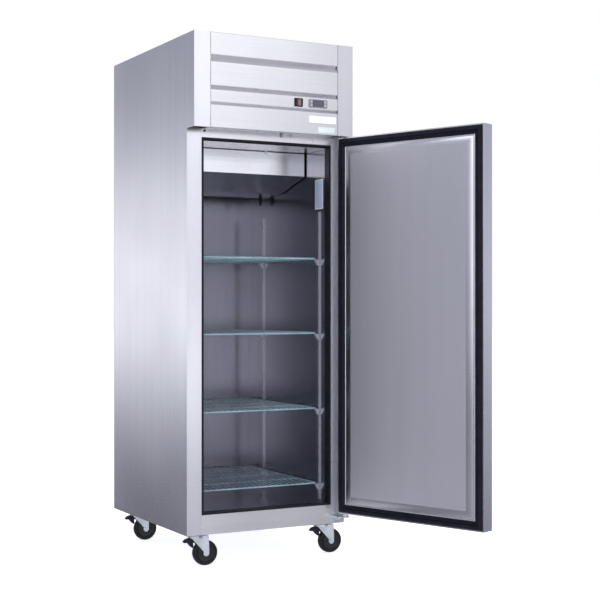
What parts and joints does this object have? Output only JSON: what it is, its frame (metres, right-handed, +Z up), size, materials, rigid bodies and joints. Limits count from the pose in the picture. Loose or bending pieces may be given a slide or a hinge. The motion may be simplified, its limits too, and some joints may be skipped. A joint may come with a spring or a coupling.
{
  "type": "reach-in refrigerator",
  "caption": "One-door stainless reach-in refrigerator with a top machine compartment, wire shelves and swivel casters, its door open.",
  "frame": {"origin": "on the floor under the middle of the cabinet", "axes": "+Z up, +X to the right seen from the front, +Y to the back"},
  "size_m": [0.9545, 1.4875, 2.07],
  "materials": {
    "outer_steel": "satin",
    "liner_steel": "polished",
    "zinc_sheet": "satin",
    "zinc_plate": "satin",
    "black_plastic": "satin",
    "gasket_rubber": "matte",
    "foam": "matte",
    "shelf_coating": "gloss",
    "coil_fins": "satin",
    "copper": "satin",
    "compressor_paint": "gloss",
    "motor_metal": "satin",
    "fan_plastic": "satin",
    "wheel_rubber": "satin",
    "pedal_plastic": "satin",
    "bush_nylon": "satin",
    "lock_chrome": "polished",
    "rocker_plastic": "gloss",
    "key_rubber": "matte",
    "plate_white": "gloss",
    "box_paint": "satin"
  },
  "bodies": {
    "cabinet": {"side_panel_left": "outer_steel", "side_panel_right": "outer_steel", "back_panel": "zinc_sheet", "cabinet_base": "zinc_sheet", "insulation": "foam", "liner": "liner_steel", "face_stiles": "outer_steel", "face_rails": "outer_steel", "thermal_breaker": "black_plastic", "shelf_standards": "liner_steel", "shelf_clips": "zinc_plate", "evaporator_cover": "liner_steel", "evaporator_coil": "coil_fins", "fan_motors": "motor_metal", "machine_deck": "zinc_sheet", "compressor": "compressor_paint", "condenser": "coil_fins", "refrigerant_pipes": "copper", "electrical_box": "box_paint", "cord_inlet": "black_plastic", "top_cover": "zinc_sheet", "header_trims": "outer_steel", "louver_panel": "outer_steel", "switch_bezel": "black_plastic", "controller_case": "black_plastic", "name_plate": "plate_white", "hinge_brackets": "zinc_plate", "caster_plates": "zinc_plate", "screws": "zinc_plate"},
    "door": {"door_skin": "outer_steel", "door_foam": "foam", "door_liner": "liner_steel", "door_gasket": "gasket_rubber", "door_grip": "black_plastic", "hinge_bushes": "bush_nylon"},
    "door_lock": {"door_lock": "lock_chrome"},
    "door_switch": {"door_switch": "bush_nylon"},
    "shelf_1": {"shelf_1": "shelf_coating"},
    "shelf_2": {"shelf_2": "shelf_coating"},
    "shelf_3": {"shelf_3": "shelf_coating"},
    "shelf_4": {"shelf_4": "shelf_coating"},
    "power_rocker": {"power_rocker": "rocker_plastic"},
    "controller_key_1": {"controller_key_1": "key_rubber"},
    "controller_key_2": {"controller_key_2": "key_rubber"},
    "controller_key_3": {"controller_key_3": "key_rubber"},
    "controller_key_4": {"controller_key_4": "key_rubber"},
    "evaporator_fan": {"evaporator_fan": "fan_plastic"},
    "condenser_fan": {"condenser_fan": "fan_plastic"},
    "caster_fork_front_left": {"caster_fork_front_left": "zinc_plate"},
    "caster_wheel_front_left": {"caster_wheel_front_left": "wheel_rubber"},
    "caster_brake_front_left": {"caster_brake_front_left": "pedal_plastic"},
    "caster_fork_front_right": {"caster_fork_front_right": "zinc_plate"},
    "caster_wheel_front_right": {"caster_wheel_front_right": "wheel_rubber"},
    "caster_brake_front_right": {"caster_brake_front_right": "pedal_plastic"},
    "caster_fork_rear_left": {"caster_fork_rear_left": "zinc_plate"},
    "caster_wheel_rear_left": {"caster_wheel_rear_left": "wheel_rubber"},
    "caster_brake_rear_left": {"caster_brake_rear_left": "pedal_plastic"},
    "caster_fork_rear_right": {"caster_fork_rear_right": "zinc_plate"},
    "caster_wheel_rear_right": {"caster_wheel_rear_right": "wheel_rubber"},
    "caster_brake_rear_right": {"caster_brake_rear_right": "pedal_plastic"}
  },
  "joints": [
    {"name": "door_hinge", "type": "hinge", "parent": "cabinet", "child": "door", "pos_m": [0.334, -0.44, 0.938], "axis": [0, 0, 1], "range_deg": [-110.8, 9.2]},
    {"name": "lock_turn", "type": "hinge", "parent": "door", "child": "door_lock", "pos_m": [0.58909, -1.02986, 1.12], "axis": [0.9348, 0.3551, 0], "range_deg": [0, 90]},
    {"name": "switch_plunger", "type": "slide", "parent": "cabinet", "child": "door_switch", "axis": [0, 1, 0], "range_m": [-0.001, 0.008]},
    {"name": "shelf_1_pull", "type": "slide", "parent": "cabinet", "child": "shelf_1", "axis": [0, -1, 0], "range_m": [0, 0.3]},
    {"name": "shelf_2_pull", "type": "slide", "parent": "cabinet", "child": "shelf_2", "axis": [0, -1, 0], "range_m": [0, 0.3]},
    {"name": "shelf_3_pull", "type": "slide", "parent": "cabinet", "child": "shelf_3", "axis": [0, -1, 0], "range_m": [0, 0.3]},
    {"name": "shelf_4_pull", "type": "slide", "parent": "cabinet", "child": "shelf_4", "axis": [0, -1, 0], "range_m": [0, 0.3]},
    {"name": "rocker_press", "type": "hinge", "parent": "cabinet", "child": "power_rocker", "pos_m": [0.101, -0.464, 1.826], "axis": [0, 0, 1], "range_deg": [0, 14]},
    {"name": "key_1_press", "type": "slide", "parent": "cabinet", "child": "controller_key_1", "axis": [0, 1, 0], "range_m": [0, 0.001], "stiffness_N_per_m": 300},
    {"name": "key_2_press", "type": "slide", "parent": "cabinet", "child": "controller_key_2", "axis": [0, 1, 0], "range_m": [0, 0.001], "stiffness_N_per_m": 300},
    {"name": "key_3_press", "type": "slide", "parent": "cabinet", "child": "controller_key_3", "axis": [0, 1, 0], "range_m": [0, 0.001], "stiffness_N_per_m": 300},
    {"name": "key_4_press", "type": "slide", "parent": "cabinet", "child": "controller_key_4", "axis": [0, 1, 0], "range_m": [0, 0.001], "stiffness_N_per_m": 300},
    {"name": "evaporator_fan_spin", "type": "hinge", "parent": "cabinet", "child": "evaporator_fan", "pos_m": [0, 0.022, 1.585], "axis": [0, 1, 0], "continuous": true},
    {"name": "condenser_fan_spin", "type": "hinge", "parent": "cabinet", "child": "condenser_fan", "pos_m": [0.1475, -0.27, 1.875], "axis": [0, 1, 0], "continuous": true},
    {"name": "caster_swivel_front_left", "type": "hinge", "parent": "cabinet", "child": "caster_fork_front_left", "pos_m": [-0.282, -0.333, 0.116], "axis": [0, 0, 1], "continuous": true},
    {"name": "wheel_roll_front_left", "type": "hinge", "parent": "caster_fork_front_left", "child": "caster_wheel_front_left", "pos_m": [-0.24614, -0.33614, 0.05], "axis": [0.0872, 0.9962, 0], "continuous": true},
    {"name": "brake_press_front_left", "type": "hinge", "parent": "caster_fork_front_left", "child": "caster_brake_front_left", "pos_m": [-0.28798, -0.33248, 0.102], "axis": [-0.0872, -0.9962, 0], "range_deg": [0, 11]},
    {"name": "caster_swivel_front_right", "type": "hinge", "parent": "cabinet", "child": "caster_fork_front_right", "pos_m": [0.282, -0.333, 0.116], "axis": [0, 0, 1], "continuous": true},
    {"name": "wheel_roll_front_right", "type": "hinge", "parent": "caster_fork_front_right", "child": "caster_wheel_front_right", "pos_m": [0.31786, -0.33614, 0.05], "axis": [0.0872, 0.9962, 0], "continuous": true},
    {"name": "brake_press_front_right", "type": "hinge", "parent": "caster_fork_front_right", "child": "caster_brake_front_right", "pos_m": [0.27602, -0.33248, 0.102], "axis": [-0.0872, -0.9962, 0], "range_deg": [0, 11]},
    {"name": "caster_swivel_rear_left", "type": "hinge", "parent": "cabinet", "child": "caster_fork_rear_left", "pos_m": [-0.282, 0.3, 0.116], "axis": [0, 0, 1], "continuous": true},
    {"name": "wheel_roll_rear_left", "type": "hinge", "parent": "caster_fork_rear_left", "child": "caster_wheel_rear_left", "pos_m": [-0.24614, 0.29686, 0.05], "axis": [0.0872, 0.9962, 0], "continuous": true},
    {"name": "brake_press_rear_left", "type": "hinge", "parent": "caster_fork_rear_left", "child": "caster_brake_rear_left", "pos_m": [-0.28798, 0.30052, 0.102], "axis": [-0.0872, -0.9962, 0], "range_deg": [0, 11]},
    {"name": "caster_swivel_rear_right", "type": "hinge", "parent": "cabinet", "child": "caster_fork_rear_right", "pos_m": [0.282, 0.3, 0.116], "axis": [0, 0, 1], "continuous": true},
    {"name": "wheel_roll_rear_right", "type": "hinge", "parent": "caster_fork_rear_right", "child": "caster_wheel_rear_right", "pos_m": [0.31786, 0.29686, 0.05], "axis": [0.0872, 0.9962, 0], "continuous": true},
    {"name": "brake_press_rear_right", "type": "hinge", "parent": "caster_fork_rear_right", "child": "caster_brake_rear_right", "pos_m": [0.27602, 0.30052, 0.102], "axis": [-0.0872, -0.9962, 0], "range_deg": [0, 11]}
  ],
  "couplings": [
    {"joint": "switch_plunger", "follows": "door_hinge", "m_per_rad": -0.0038266}
  ]
}
